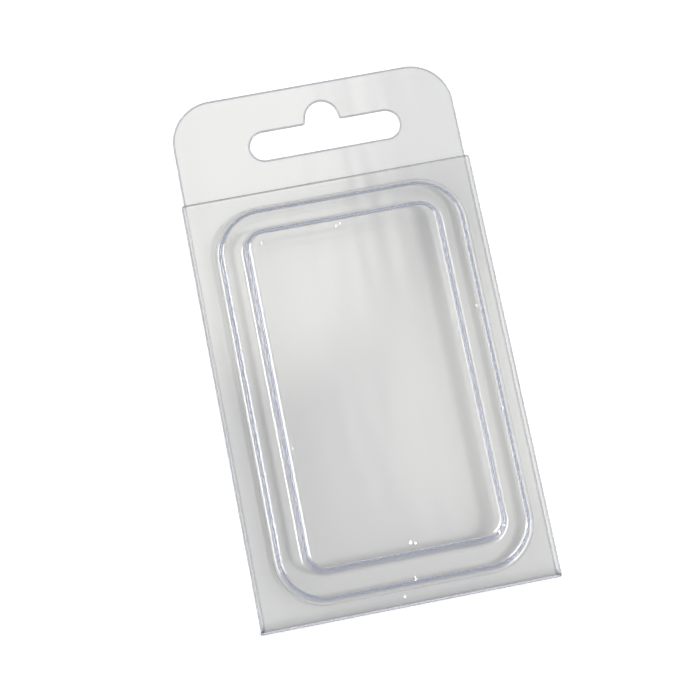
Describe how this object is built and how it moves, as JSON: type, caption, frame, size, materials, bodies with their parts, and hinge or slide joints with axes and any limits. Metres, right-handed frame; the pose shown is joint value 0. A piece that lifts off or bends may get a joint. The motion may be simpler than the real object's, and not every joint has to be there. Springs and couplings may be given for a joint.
{
  "type": "plastic clamshell pack",
  "caption": "Clear folded plastic clamshell pack with a stepped rectangular blister on its front leaf and a rounded hang tab with a euro slot.",
  "frame": {"origin": "middle of the pack's length and width, on the outer face of the back leaf that it lies on", "axes": "+X across the width, +Y along the length towards the hang tab, +Z out of the blister"},
  "size_m": [0.0612, 0.112, 0.0084],
  "materials": {
    "clear_sheet": "clear, glossy thermoformed sheet"
  },
  "bodies": {
    "back": {"back_leaf": "clear_sheet"},
    "front": {"front_leaf": "clear_sheet"}
  },
  "joints": [
    {"name": "fold_hinge", "type": "hinge", "parent": "back", "child": "front", "pos_m": [0, -0.056, 0.0011], "axis": [1, 0, 0], "range_deg": [0, 145]}
  ]
}
